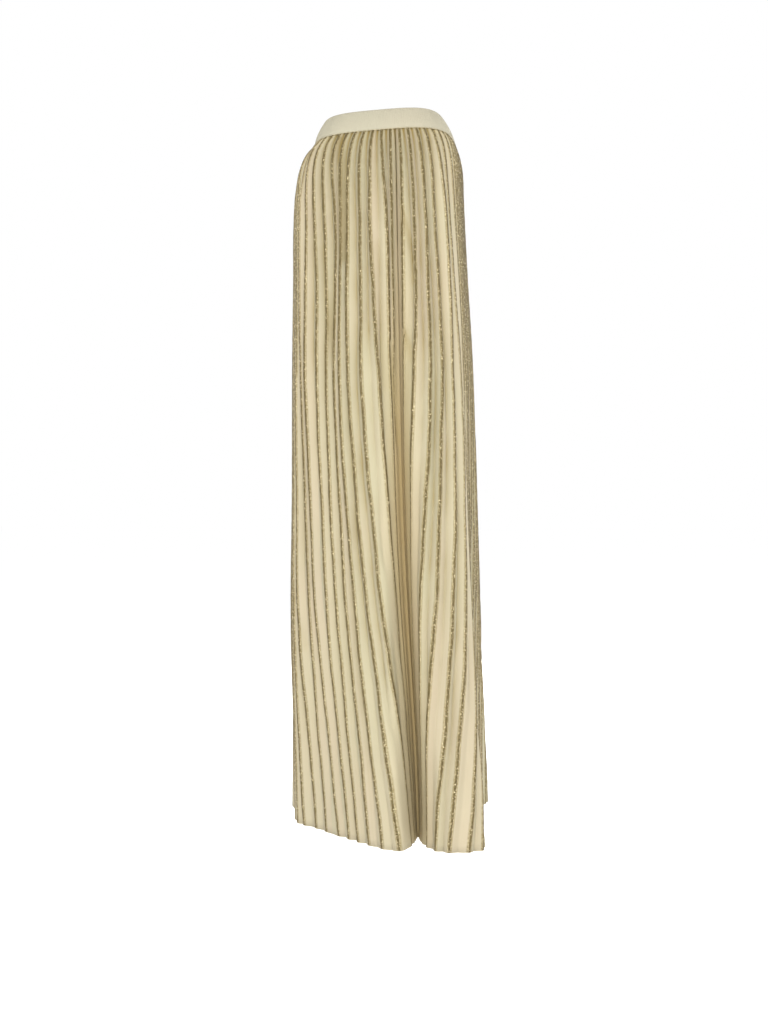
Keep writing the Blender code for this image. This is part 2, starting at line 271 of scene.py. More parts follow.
hem_round = even_out(rounded_boxes(sections_at(np.array([SKIRT_LENGTH]))))[1]
print("before its folds the hem is", round(float(hem_round[0, 0])), "mm round")

# %% [markdown]
# Each fold moves the loop in by its depth times a bell, exp(-(s/w)^2), where s is the run from the
# middle of the fold and w is its half width. Depth and bearing change with height, so the fold
# on the right side deepens from a dimple at the hip to a groove at the hem.


# %% Folds, and the loops through the crests
def places_at(loops, places, degrees):
    """The run to the point of each loop that lies at a bearing from the right to the back."""
    bearings = np.degrees(np.unwrap(np.arctan2(loops[..., 1], -loops[..., 0]), axis=1))
    found = np.empty(len(loops))
    for row, bearing in enumerate(bearings):
        wanted = bearing[0] + (degrees[row] - bearing[0]) % 360
        found[row] = np.interp(wanted, bearing, places[row])
    return found[:, None]


def fold_depth(fold, below):
    """How deep a fold is at many heights, from nothing at the waist seam."""
    depths = (0.0, fold["in_hip"], fold["in_thigh"], fold["in_knee"], fold["in_hem"])
    return on_curve(depths, FOLD_LEVELS, below)


def fold_bearing(fold, below):
    """The bearing of a fold at many heights. It has none of its own at the thigh."""
    bearings = (fold["bearing_hip"], fold["bearing_hip"], fold["bearing_knee"], fold["bearing_hem"])
    return on_curve(bearings, FOLD_LEVELS[[0, 1, 3, 4]], below)[:, 0]


def crest_loops(below):
    """The loops through the crests, and the runs along them to the right and left seams."""
    loops, lengths = even_out(rounded_boxes(sections_at(below)))
    loops = soften(loops, lengths, CORNER_SOFT)
    places = np.arange(LOOP_POINTS) * lengths / LOOP_POINTS
    inward = np.zeros(places.shape)
    centres = {}
    for name, fold in NAMED_FOLDS.items():
        centres[name] = places_at(loops, places, fold_bearing(fold, below))
        away = (places - centres[name] + lengths / 2) % lengths - lengths / 2
        inward += fold_depth(fold, below) * np.exp(-(away / fold["half_width"]) ** 2)
    loops = loops - outward(loops) * inward[..., None]
    runs = runs_of(loops)
    seams = []
    for name in ("right_groove", "left_groove"):
        rows = zip(centres[name][:, 0], places, runs)
        seams.append(np.array([np.interp(centre, place, run[:-1]) for centre, place, run in rows]))
    loops, lengths = even_out(loops)
    loops = soften(loops, lengths, FOLD_SOFT)
    scale = (runs_of(loops)[:, -1:] / lengths)[:, 0]
    return loops, seams[0] * scale, seams[1] * scale


WAIST_ROUND, HEM_ROUND = runs_of(crest_loops(np.array([0.0, SKIRT_LENGTH]))[0])[:, -1]
print("round the crests, in mm: waist", round(WAIST_ROUND), "and hem", round(HEM_ROUND))

# %% [markdown]
# ## Pleats
#
# The crests stand on the loop a pleat's width apart. Real pleats are steamed in straight, but
# hang a little unevenly, so each crest wanders by a millimetre or so on its way down, and each
# valley is a little shallower in places. Sines with a different phase for each pleat do this, and
# they give the same skirt on every run.


# %% Widths of the pleats
# A row for each wave: its length as a share of the longest, its weight, and how far it is turned
# from one pleat to the next.
WANDER_WAVES = ((1.0, 0.55, 2.4), (0.43, 0.3, 4.1), (0.19, 0.15, 1.3))


def wander(numbers, below, longest):
    """A smooth wander between -1 and 1 for each pleat: three sines of the height below the waist."""
    height = below[:, None]
    total = 0.0
    for share, weight, turn in WANDER_WAVES:
        total = total + weight * np.sin(2 * math.pi * height / (share * longest) + turn * numbers)
    return total


def pleat_widths(in_view, panel_runs, below):
    """The run from the seam to the first crest, then from crest to crest, then to the far seam."""
    count = PLEATS_A_PANEL + 1
    shown = len(in_view)
    order = np.arange(count)
    even = np.where((order == 0) | (order == count - 1), 0.5, 1.0)
    equal = even * panel_runs[:, None] / even.sum()
    heights = (0.0, *PLEAT_HEIGHTS.values())
    weights = on_curve(np.eye(len(heights)), heights, below)
    near = weights[:, :1] * equal[:, :shown] + weights[:, 1:] @ np.array(in_view, float).T
    grown = (below / SKIRT_LENGTH)[:, None]
    shares = (even * (1 + WIDTH_UNEVEN * grown * np.sin(WIDTH_TURN * order)))[:, shown:]
    left = panel_runs[:, None] - near.sum(axis=1, keepdims=True)
    return np.concatenate([near, shares * left / shares.sum(axis=1, keepdims=True)], axis=1)


print(len(BACK_PLEATS) + len(FRONT_PLEATS), "pleats have widths of their own, the rest share what is left")

# %% Crests and valleys
CREST_WANDER = 0.07      # of the width of a pleat
CREST_WAVE = 310.0       # the longest wave of that wander
VALLEY_SHIFT = 0.13      # of the gap between crests, to one side or the other
SHIFT_WAVE = 700.0
SHIFT_TURN = 2.3         # makes the shifts differ from the wander of the crests
VALLEY_UNEVEN = 0.16     # of the depth of a valley
DEPTH_WAVE = 230.0
DEPTH_TURN = 1.7         # makes the depths differ from both
OPEN_AT_HEM = 0.35       # the share of their depth that the pleats lose towards the hem
OPENS_FROM = 560.0
SETTLED_BELOW = 70.0     # the pleats are held straight by the band down to here


def pleat_lines(widths, seam_gaps, panel_runs, below, first_number):
    """Runs from the seam to the crests and to the valleys, and the depths of the valleys.

    A valley between crests a gap g apart is as deep as its two flanks allow,
    sqrt(flank^2 - (g/2)^2). The valley at a seam lies between a crest of each panel.
    """
    numbers = first_number + np.arange(PLEATS_A_PANEL)
    free = np.clip(below / SETTLED_BELOW, 0, 1)[:, None]
    narrowest = np.minimum(widths[:, :-1], widths[:, 1:])
    crests = np.cumsum(widths, axis=1)[:, :-1]
    crests = crests + CREST_WANDER * narrowest * free * wander(numbers, below, CREST_WAVE)
    middles = (crests[:, 1:] + crests[:, :-1]) / 2
    sideways = VALLEY_SHIFT * free * wander(numbers[1:] * SHIFT_TURN, below, SHIFT_WAVE)
    middles = middles + sideways * np.diff(crests, axis=1)
    start, end = np.zeros((len(below), 1)), panel_runs[:, None]
    valleys = np.concatenate([start, middles, end], axis=1)
    gaps = np.concatenate([seam_gaps[0], np.diff(crests, axis=1), seam_gaps[1]], axis=1)
    stretched = np.sqrt(np.maximum(FLANK**2 - (gaps / 2) ** 2, VALLEY_LEAST**2))
    depths = np.minimum(stretched, sections_at(below)["pleat_depth"])
    depths = np.minimum(depths, VALLEY_SHARE * gaps)
    order = np.arange(PLEATS_A_PANEL + 1)
    uneven = VALLEY_UNEVEN * free * wander(order * DEPTH_TURN, below, DEPTH_WAVE)
    opened = np.clip((below - OPENS_FROM) / (SKIRT_LENGTH - OPENS_FROM), 0, 1)[:, None]
    return crests, valleys, depths * (1 - np.abs(uneven)) * (1 - OPEN_AT_HEM * opened**2)


# A row for each panel: its pleats in view, its way along the loop, the number of its first pleat.
PANELS = {"back": (BACK_PLEATS, 1, 0), "front": (FRONT_PLEATS, -1, PLEATS_A_PANEL)}


def lay_pleats(side, below):
    """The crest loops, and the pleats of one panel on them, as a dictionary of arrays."""
    loops, right_seam, left_seam = crest_loops(below)
    lengths = runs_of(loops)[:, -1]
    back_runs = (left_seam - right_seam) % lengths
    panel_runs = {"back": back_runs, "front": lengths - back_runs}
    widths = {name: pleat_widths(row[0], panel_runs[name], below) for name, row in PANELS.items()}
    seam_gaps = [widths["back"][:, [end]] + widths["front"][:, [end]] for end in (0, -1)]
    _, way, number = PANELS[side]
    crests, valleys, depths = pleat_lines(widths[side], seam_gaps, panel_runs[side], below, number)
    return {
        "loops": loops, "lengths": lengths, "right_seam": right_seam[:, None], "way": way,
        "panel_runs": panel_runs[side], "number": number,
        "crests": crests, "valleys": valleys, "depths": depths,
    }


print("half way down, the deepest valley is", round(lay_pleats("back", middle)["depths"].max(), 1), "mm")

# %% [markdown]
# ## From a pleat to a surface
#
# Across one pleat the cloth runs from a valley up to a crest and down again. A straight flank
# looks like folded card. Knit is softer: its flanks bow a little and its valleys are round. The
# blend of a straight line with half a cosine wave gives both with one number.

# %% The profile of a pleat
RIB_HALF = 1.55          # half the width of the metallic rib
FLANK_STEPS = (0.0, 0.2, 0.45, 0.7, 0.9)    # from a valley to the edge of the rib
RIB_SIDES = np.array([-RIB_HALF, 0.0, RIB_HALF])
VALLEY_ROUND = 0.14      # 0 is a straight flank with a sharp valley, 1 is half a wave


def dip(share):
    """How deep the cloth lies, from 1 in a valley to 0 at a crest.

    (1 - r)(1 - q) + r (1 + cos(pi q)) / 2, where q is the share of the way up and r the roundness.
    """
    wave = (1 + np.cos(math.pi * share)) / 2
    return (1 - VALLEY_ROUND) * (1 - share) + VALLEY_ROUND * wave


def pleat_columns(crests, valleys, depths):
    """Runs, depths, and the share of the cloth from the seam, of every column of a panel."""
    up = np.array(FLANK_STEPS)
    down = up[:0:-1]
    steps = len(up) + len(RIB_SIDES) + len(down)
    rows, pleats = crests.shape
    runs = np.empty((rows, pleats, steps))
    deep = np.zeros((rows, pleats, steps))
    before, after = valleys[:, :-1, None], valleys[:, 1:, None]
    left, right = crests[..., None] - RIB_HALF, crests[..., None] + RIB_HALF
    runs[..., :len(up)] = before + (left - before) * up
    deep[..., :len(up)] = depths[:, :-1, None] * dip(up)
    runs[..., len(up):-len(down)] = crests[..., None] + RIB_SIDES
    runs[..., -len(down):] = after + (right - after) * down
    deep[..., -len(down):] = depths[:, 1:, None] * dip(down)
    cloth = np.concatenate([up * FLANK, FLANK + RIB_SIDES, 2 * FLANK - down * FLANK])
    spread = (np.arange(pleats)[:, None] * 2 * FLANK + cloth).ravel()
    runs = np.concatenate([runs.reshape(rows, -1), valleys[:, -1:]], axis=1)
    deep = np.concatenate([deep.reshape(rows, -1), depths[:, -1:]], axis=1)
    return runs, deep, np.append(spread, pleats * 2 * FLANK)


print("a pleat has", 2 * len(FLANK_STEPS) - 1 + len(RIB_SIDES), "columns of points")

# %% [markdown]
# The cloth is worn, so its faces also carry a few soft creases that slant across the pleats, most
# of them on the hip beside the deep groove. Each row of the table below is one crease: a line
# from one point to another, in millimetres round from the right seam and below the waist, pressed
# in like a shallow trough. The rows for the sides that the view doesn't reach are of like size.

# %% Creases
CREASE_COLUMNS = ("round_from", "below_from", "round_to", "below_to", "half_width", "depth")
CREASES = (
    (-6, 104, -19, 172, 3.0, 2.4),
    (-19, 172, -20, 200, 3.0, 2.0),
    (-8, 262, -19, 300, 3.5, 2.2),
    (12, 275, 4, 400, 3.5, 2.0),
    (72, 10, 70, 165, 6.5, 2.9),
    (102, 150, 97, 300, 4.5, 2.2),
    (128, 4, 150, 70, 7.0, 2.6),
    (26, 150, 22, 330, 6.0, 0.8),
    (30, 640, 14, 800, 4.5, 0.8),
    (44, 560, 26, 740, 6.0, -0.7),
    (-46, 420, -38, 560, 6.0, 0.7),
    (-62, 640, -52, 810, 5.0, 0.8),
    (70, 420, 86, 520, 6.0, 0.7),
    (150, 180, 168, 300, 6.0, 1.0),
    (236, 520, 214, 660, 6.0, 0.9),
    (300, 260, 312, 420, 5.0, 0.8),
    (-150, 240, -136, 380, 6.0, 1.0),
    (-220, 520, -236, 690, 6.0, 0.9),
    (-310, 330, -292, 470, 5.0, 0.9),
    (-410, 600, -388, 760, 6.0, 1.0),
)
RIPPLE = 0.7             # broad unevenness of the hanging cloth
# The waves whose product is a ripple: how many go round the skirt, where a minus leans the other
# way, and the way down for a radian.
RIPPLE_WAVES = ((4, 190.0), (-3, 83.0))
SEAM_PINCH = 1.8         # the seam draws the cloth in
PINCH_LENGTH = 4.0


def creased_in(round_seam, below):
    """How far creases move the cloth in: depth exp(-(d/w)^2), with d the distance to the line."""
    total = np.zeros(round_seam.shape)
    down = below[:, None]
    for row in CREASES:
        crease = dict(zip(CREASE_COLUMNS, row))
        ax, ay = crease["round_from"], crease["below_from"]
        dx, dy = crease["round_to"] - ax, crease["below_to"] - ay
        along = ((round_seam - ax) * dx + (down - ay) * dy) / (dx * dx + dy * dy)
        along = np.clip(along, 0, 1)
        away = np.hypot(round_seam - ax - along * dx, down - ay - along * dy)
        total += crease["depth"] * np.exp(-(away / crease["half_width"]) ** 2)
    return total


def pressed_in(round_seam, lengths, below):
    """How far creases, ripples and the seam move the cloth in.

    A ripple is a product of sines of the turn round the skirt and the height, with whole waves
    to a turn, so that the panels meet. It grows as the square root of the way down. The pinch at
    the seam fades as exp(-down/4).
    """
    down = below[:, None]
    turn = 2 * math.pi * round_seam / lengths[:, None]
    free = np.clip(down / SKIRT_LENGTH, 0, 1)
    swell = np.sqrt(free)
    for count, length in RIPPLE_WAVES:
        swell = swell * np.sin(count * turn + down / length)
    pinch = SEAM_PINCH * np.exp(-np.clip(down, 0, None) / PINCH_LENGTH)
    return creased_in(round_seam, below) + RIPPLE * swell + pinch


print(len(CREASES), "creases")

# %% [markdown]
# Last come the heights. The waist seam slopes up from back to front, and the hem is level.


# %% Heights
def heights_of(points, below):
    """z = -half the band - below - slope y, where the slope fades to nothing at the hem."""
    slope = WAIST_SLOPE * (1 - below / SKIRT_LENGTH)[:, None]
    return -BAND_HEIGHT / 2 - below[:, None] - slope * points[..., 1]


print("the waist slopes by", round(math.degrees(math.atan(WAIST_SLOPE)), 1), "degrees")

# %% [markdown]
# ## Meshes from grids
#
# Every piece is a grid of points. One helper joins neighbours into squares, writes the mesh with
# foreach_set, and gives each corner a UV in metres of real cloth, so that a stitch in a material
# has the same size on every piece.


# %% A mesh from a grid
def quad_mesh(name, points, corners, corner_uv):
    """A mesh from points in millimetres, squares of four point numbers, and a UV for each corner."""
    mesh = bpy.data.meshes.new(name)
    mesh.vertices.add(len(points))
    mesh.vertices.foreach_set("co", (points * MM).astype(np.float32).ravel())
    mesh.loops.add(corners.size)
    mesh.loops.foreach_set("vertex_index", corners.astype(np.int32).ravel())
    mesh.polygons.add(len(corners))
    mesh.polygons.foreach_set("loop_start", np.arange(0, corners.size, 4, dtype=np.int32))
    layer = mesh.uv_layers.new(name="cloth")
    layer.data.foreach_set("uv", (corner_uv * MM).astype(np.float32).ravel())
    mesh.update(calc_edges=True)
    mesh.shade_smooth()
    return mesh


def with_next(values, closed):
    """The values, and if closed one more, as far on as the last step."""
    return np.append(values, 2 * values[-1] - values[-2]) if closed else values


def grid_corners(rows, columns, closed_across=False, closed_down=False):
    """Squares (r, c), (r, c+1), (r+1, c+1), (r+1, c) of a grid whose points are numbered by rows."""
    order = np.arange(rows * columns).reshape(rows, columns)
    if closed_across:
        order = np.concatenate([order, order[:, :1]], axis=1)
    if closed_down:
        order = np.concatenate([order, order[:1]], axis=0)
    corners = np.stack([order[:-1, :-1], order[:-1, 1:], order[1:, 1:], order[1:, :-1]], axis=-1)
    return corners.reshape(-1, 4)


def grid_uv(across, down):
    """The UV of the four corners of every square, from the cloth's own widths and lengths."""
    u0, v0 = np.meshgrid(across[:-1], down[:-1])
    u1, v1 = np.meshgrid(across[1:], down[1:])
    return np.stack([u0, v0, u1, v0, u1, v1, u0, v1], axis=-1).reshape(-1, 2)


def grid_mesh(name, points, across, down, closed_across=False, closed_down=False):
    """A mesh of points[row, column], with the distances in the flat cloth between them."""
    corners = grid_corners(*points.shape[:2], closed_across, closed_down)
    uv = grid_uv(with_next(across, closed_across), with_next(down, closed_down))
    return quad_mesh(name, points.reshape(-1, 3), corners, uv)


# %% A tube with closed ends
TUBE_SIDES = 6
TUBE_TURN = np.linspace(0, 2 * math.pi, TUBE_SIDES, endpoint=False)
END = np.array([[0, 1, 2, 3], [0, 3, 4, 5]])     # two squares close a ring of six points


def tube_corners(rings):
    """The squares of a tube of rings, with two squares across each end."""
    last = (rings - 1) * TUBE_SIDES
    walls = grid_corners(rings, TUBE_SIDES, closed_across=True)
    return np.concatenate([walls, END[:, [0, 3, 2, 1]], END + last])


def tube_uv(side, along):
    """The UV of those squares, from the width of one side and the places of the rings."""
    walls = grid_uv(np.arange(TUBE_SIDES + 1) * side, along)
    return np.concatenate([walls, np.zeros((2 * END.size, 2))])


print("a tube of two rings has", len(tube_corners(2)), "squares with its ends")


# %% A piece with its finish
def add_piece(name, mesh, material, replaces=()):
    """An object for a mesh, with its finish, riding on the part's one body."""
    piece = bpy.data.objects.new(name, mesh)
    bpy.context.collection.objects.link(piece)
    piece.data.materials.append(material)
    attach(piece, "root")
    if replaces:
        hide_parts(*replaces)
    triangles = sum(len(face.vertices) - 2 for face in mesh.polygons)
    print(f"{name}: {triangles} triangles before modifiers")
    return piece


# %% [markdown]
# ## Finishes
#
# All the cloth here is knit, so one node group draws knit for every material: rows of small V
# shaped stitches, read from the cloth UV. It gives a height for bump and a mask for the shade
# between stitches. Each material then places it with its own stitch size.

# %% Sums in node trees
def link_value(tree, socket, value):
    """Sets a socket to a number, or links it to another socket."""
    if isinstance(value, (int, float)):
        socket.default_value = value
    else:
        tree.links.new(value, socket)


def maths(tree, operation, first, second=0.0):
    """One Math node, as a socket."""
    node = tree.nodes.new("ShaderNodeMath")
    node.operation = operation
    link_value(tree, node.inputs[0], first)
    link_value(tree, node.inputs[1], second)
    return node.outputs[0]


def plus(tree, first, second):
    """A sum, as a socket."""
    return maths(tree, "ADD", first, second)


def minus(tree, first, second):
    """A difference, as a socket."""
    return maths(tree, "SUBTRACT", first, second)


def times(tree, first, second):
    """A product, as a socket."""
    return maths(tree, "MULTIPLY", first, second)


def blend(tree, factor, start, end):
    """The start where the factor is 0 and the end where it is 1, as a socket."""
    return plus(tree, start, times(tree, factor, end - start))


def start_group(name, inputs, outputs):
    """A new node group with named sockets, and the sockets inside it for its inputs and outputs."""
    group = bpy.data.node_groups.new(name, "ShaderNodeTree")
    for socket, kind in inputs.items():
        group.interface.new_socket(socket, in_out="INPUT", socket_type=f"NodeSocket{kind}")
    for socket in outputs:
        group.interface.new_socket(socket, in_out="OUTPUT", socket_type="NodeSocketFloat")
    given = group.nodes.new("NodeGroupInput")
    result = group.nodes.new("NodeGroupOutput")
    return group, given.outputs, result.inputs


# %% A knit pattern as a node group
LEG_SLANT = 1.6          # how many rows the leg of a stitch climbs over one column
BOW_LIFT = 1.6           # keeps the ends of a leg above the ground of the cloth
BOW_SCALE = 0.385


def make_knit_group():
    """Knit of V stitches, with u and v counted in stitches.

    The height of a stitch is cos of the distance across its leg, times a bow along the row that
    slants as |u - 1/2| does: 0.385 (1.6 + cos), which runs from 0.23 to 1.
    """
    sizes = {"UV": "Vector", "Stitch width": "Float", "Stitch height": "Float"}
    group, given, result = start_group("knit_stitches", sizes, ["Height", "Between"])
    split = group.nodes.new("ShaderNodeSeparateXYZ")
    group.links.new(given["UV"], split.inputs[0])
    column = maths(group, "DIVIDE", split.outputs["X"], given["Stitch width"])
    row = maths(group, "DIVIDE", split.outputs["Y"], given["Stitch height"])
    side = maths(group, "ABSOLUTE", minus(group, maths(group, "FRACT", column), 0.5))
    slanted = plus(group, row, times(group, side, LEG_SLANT))
    wave = maths(group, "COSINE", times(group, slanted, 2 * math.pi))
    leg = maths(group, "COSINE", times(group, minus(group, side, 0.25), 2 * math.pi))
    bow = times(group, plus(group, wave, BOW_LIFT), BOW_SCALE)
    height = times(group, maths(group, "MAXIMUM", leg, 0.0), bow)
    group.links.new(height, result["Height"])
    group.links.new(minus(group, 1.0, height), result["Between"])
    return group


KNIT = make_knit_group()
print("node group:", KNIT.name)

# %% [markdown]
# Two more groups are shared. Cloth is never dyed quite evenly, and a noise with broad patches
# gives that, with a fine one for fuzz. Flat metallic yarn twists as it is knitted, so it shows as
# small flakes, each of its own shade, and a few of them glint. Voronoi cells do this, and the
# materials paint the glints in as a paler colour.

# %% Mottle and flakes as node groups
GRAINS_A_METRE = 900.0
FLAKES_A_METRE = 1000.0


def make_mottle_group():
    """Soft unevenness of dye and light on cloth: two noises of the object's coordinates."""
    group, given, result = start_group("cloth_mottle", {"Patch size": "Float"}, ["Broad", "Fine"])
    place = group.nodes.new("ShaderNodeTexCoord")
    for name, scale, detail in (
        ("Broad", maths(group, "DIVIDE", 1.0, given["Patch size"]), 1.0),
        ("Fine", GRAINS_A_METRE, 2.0),
    ):
        noise = group.nodes.new("ShaderNodeTexNoise")
        noise.inputs["Detail"].default_value = detail
        link_value(group, noise.inputs["Scale"], scale)
        group.links.new(place.outputs["Object"], noise.inputs["Vector"])
        group.links.new(noise.outputs["Fac"], result[name])
    return group


def make_flakes_group():
    """Flat metallic yarn seen close: cells a millimetre wide, each with its own shade.

    Where a cell's random number r passes the threshold t it gets a painted glint, ((r - t)/(1 - t))^2.
    """
    outputs = ["Glint", "Shade", "Height"]
    group, given, result = start_group("metallic_flakes", {"Threshold": "Float"}, outputs)
    place = group.nodes.new("ShaderNodeTexCoord")
    cells = group.nodes.new("ShaderNodeTexVoronoi")
    cells.inputs["Scale"].default_value = FLAKES_A_METRE
    group.links.new(place.outputs["Object"], cells.inputs["Vector"])
    split = group.nodes.new("ShaderNodeSeparateColor")
    group.links.new(cells.outputs["Color"], split.inputs[0])
    past = minus(group, split.outputs[0], given["Threshold"])
    share = maths(group, "DIVIDE", past, minus(group, 1.0, given["Threshold"]))
    glint = maths(group, "POWER", maths(group, "MAXIMUM", share, 0.0), 2.0)
    for name, socket in zip(outputs, (glint, split.outputs[1], split.outputs[2])):
        group.links.new(socket, result[name])
    return group


MOTTLE = make_mottle_group()
FLAKES = make_flakes_group()
print("node groups:", MOTTLE.name, FLAKES.name)

# %% [markdown]
# The pleated cloth is a fine viscose knit: matt, cream, with a little sheen at grazing angles.
# Its colour drifts between a warmer and a cooler cream, and painted shade makes it a little darker
# between the stitches. An attribute says how much each point lies in a valley, a crease or the
# gathers at the seam, and painted shade darkens the cream there. A darker, warmer painted shade
# lies deep in the side folds. Beside each rib a few metallic threads run through the cream, with
# painted shade, so the line of gold has a soft, darker edge, and a few painted glints.


# %% Materials, groups and mixed colours
HIGHLIGHT = 0.2          # yarn has a weak one


def shade_between(tree, factor, first, second):
    """A Mix node of two colours, as a socket."""
    node = tree.nodes.new("ShaderNodeMix")
    node.data_type = "RGBA"
    link_value(tree, node.inputs["Factor"], factor)
    for name, colour in (("A", first), ("B", second)):
        socket = next(s for s in node.inputs if s.name == name and s.type == "RGBA")
        if isinstance(colour, tuple):
            socket.default_value = (*colour, 1.0)
        else:
            tree.links.new(colour, socket)
    return next(s for s in node.outputs if s.type == "RGBA")


def start_material(name):
    """A new material, its node tree and its Principled BSDF."""
    material = bpy.data.materials.new(name)
    material.use_nodes = True
    tree = material.node_tree
    return material, tree, tree.nodes["Principled BSDF"]


def cloth_uv(tree):
    """The cloth's UV map, in metres of flat cloth, as a socket."""
    node = tree.nodes.new("ShaderNodeUVMap")
    node.uv_map = "cloth"
    return node.outputs[0]


def place_group(tree, group, values):
    """A node group in a material, with its inputs set or linked, as its output sockets."""
    node = tree.nodes.new("ShaderNodeGroup")
    node.node_tree = group
    for name, value in values.items():
        link_value(tree, node.inputs[name], value)
    return node.outputs


def place_knit(tree, size):
    """The knit group with stitches of a width and a height in metres."""
    sizes = {"Stitch width": size[0], "Stitch height": size[1]}
    return place_group(tree, KNIT, {"UV": cloth_uv(tree), **sizes})


def add_sheen(shader, weight, roughness, tint):
    """What is the same all over a matt knit: a weak highlight and a soft sheen."""
    shader.inputs["Specular IOR Level"].default_value = HIGHLIGHT
    shader.inputs["Sheen Weight"].default_value = weight
    shader.inputs["Sheen Roughness"].default_value = roughness
    shader.inputs["Sheen Tint"].default_value = (*tint, 1.0)


def add_bump(tree, shader, height, distance):
    """A Bump node from a height to the shader's normal."""
    bump = tree.nodes.new("ShaderNodeBump")
    bump.inputs["Distance"].default_value = distance
    tree.links.new(height, bump.inputs["Height"])
    tree.links.new(bump.outputs["Normal"], shader.inputs["Normal"])


# %% Where the ribs, the faces and the wales are
THREAD_REACH = 1.9       # metallic threads, with painted shade, lie this far beside the rib, in millimetres
WALE_GROUP = 2.4         # wales, the columns of stitches, lie in groups about this wide


def read_attribute(tree, name):
    """A value that the mesh carries, as a socket."""
    node = tree.nodes.new("ShaderNodeAttribute")
    node.attribute_name = name
    return node.outputs["Fac"]


def across_cloth(tree, width):
    """The distance across the flat cloth, counted in widths given in millimetres."""
    split = tree.nodes.new("ShaderNodeSeparateXYZ")
    tree.links.new(cloth_uv(tree), split.inputs[0])
    return maths(tree, "DIVIDE", split.outputs["X"], width * MM)


def beside_ribs(tree):
    """1 at a rib and 0 past the reach of its threads.

    A crest is half way along each pleat, so |fract(pleats) - 1/2| pleats is the way to it.
    """
    along = maths(tree, "FRACT", across_cloth(tree, 2 * FLANK))
    off = maths(tree, "ABSOLUTE", minus(tree, along, 0.5))
    reach = (RIB_HALF + THREAD_REACH) / (2 * FLANK)
    near = maths(tree, "DIVIDE", minus(tree, reach, off), THREAD_REACH / (2 * FLANK))
    return maths(tree, "MINIMUM", maths(tree, "MAXIMUM", near, 0.0), 1.0)


def each_face(tree):
    """A number between 0 and 1 that differs from one face of a pleat to the next."""
    noise = tree.nodes.new("ShaderNodeTexWhiteNoise")
    noise.noise_dimensions = "1D"
    tree.links.new(maths(tree, "FLOOR", across_cloth(tree, FLANK)), noise.inputs["W"])
    return noise.outputs["Value"]


def each_wale(tree):
    """Fine streaks down the cloth: a noise of the distance across it alone, 0 below its middle."""
    noise = tree.nodes.new("ShaderNodeTexNoise")
    noise.noise_dimensions = "1D"
    noise.inputs["Scale"].default_value = 1.0
    tree.links.new(across_cloth(tree, WALE_GROUP), noise.inputs["W"])
    return maths(tree, "MAXIMUM", minus(tree, noise.outputs["Fac"], 0.5), 0.0)


# %% Cloth material
CREAM_PINK = (0.488, 0.420, 0.296)
CREAM_GREEN = (0.468, 0.430, 0.292)
# painted shade of valleys, creases, gathers, the seam and the stitches; the wale streaks take it too
CREAM_PAINTED_SHADE_AND_WALES = (0.300, 0.225, 0.080)
CREAM_PAINTED_FOLD_SHADE = (0.350, 0.255, 0.112)
GOLD_THREAD_AND_PAINTED_SHADE = (0.205, 0.155, 0.060)
# the colour of painted glints, on the threads and on the ribs
GOLD_GLINT = (0.74, 0.64, 0.39)
CLOTH_STITCH = (0.00095, 0.00075)
DYE_PATCH = 0.11         # metres from a warmer patch to a cooler one
DYE_DRIFT = 1.4          # how much the patches change the cream
FACE_DRIFT = 0.8         # and how much it changes from face to face
DRIFT_START = -0.6
GROOVE_SHARE = 0.9       # of the painted shade at the bottom of a deep fold
STITCH_SHARE = 0.10      # of the painted shade between the stitches
WALE_SHARE = 0.22        # and in the streaks
THREAD_LEAST = 0.4       # shade of the palest thread
THREAD_SHARE = 0.72      # how far the threads and their painted shade hide the cream
THREAD_GLINT = 0.8
THREAD_THRESHOLD = 0.84
FUZZ_SHARE = 0.5         # of the bump


def make_cloth_material():
    """Cream viscose knit."""
    material, tree, shader = start_material("pleated_knit_cloth")
    knit = place_knit(tree, CLOTH_STITCH)
    mottle = place_group(tree, MOTTLE, {"Patch size": DYE_PATCH})
    flakes = place_group(tree, FLAKES, {"Threshold": THREAD_THRESHOLD})
    drift = plus(tree, times(tree, mottle["Broad"], DYE_DRIFT), times(tree, each_face(tree), FACE_DRIFT))
    cream = shade_between(tree, plus(tree, drift, DRIFT_START), CREAM_PINK, CREAM_GREEN)
    # painted shade, darker and warmer, deep in the side folds; the same mask also thins the threads there
    groove = times(tree, read_attribute(tree, "in_groove"), GROOVE_SHARE)
    cream = shade_between(tree, groove, cream, CREAM_PAINTED_FOLD_SHADE)
    # painted shade between the stitches, and the cloth's own wale streaks
    fine = plus(tree, times(tree, knit["Between"], STITCH_SHARE), times(tree, each_wale(tree), WALE_SHARE))
    full = plus(tree, read_attribute(tree, "in_shade"), fine)
    cream = shade_between(tree, full, cream, CREAM_PAINTED_SHADE_AND_WALES)
    # metallic threads beside each rib, partly yarn and partly painted shade
    near = times(tree, beside_ribs(tree), minus(tree, 1.0, groove))
    threads_and_painted_shade = times(tree, near, plus(tree, flakes["Shade"], THREAD_LEAST))
    cream = shade_between(tree, times(tree, threads_and_painted_shade, THREAD_SHARE), cream, GOLD_THREAD_AND_PAINTED_SHADE)
    # painted glints: pale spots in the colour of the threads
    glint = times(tree, times(tree, flakes["Glint"], near), THREAD_GLINT)
    cream = shade_between(tree, glint, cream, GOLD_GLINT)
    tree.links.new(cream, shader.inputs["Base Color"])
    tree.links.new(blend(tree, mottle["Fine"], 0.72, 0.88), shader.inputs["Roughness"])
    add_sheen(shader, weight=0.06, roughness=0.45, tint=(0.95, 0.88, 0.72))
    relief = plus(tree, knit["Height"], times(tree, mottle["Fine"], FUZZ_SHARE))
    add_bump(tree, shader, relief, distance=0.00022)
    return material


CLOTH = make_cloth_material()
print("material:", CLOTH.name)

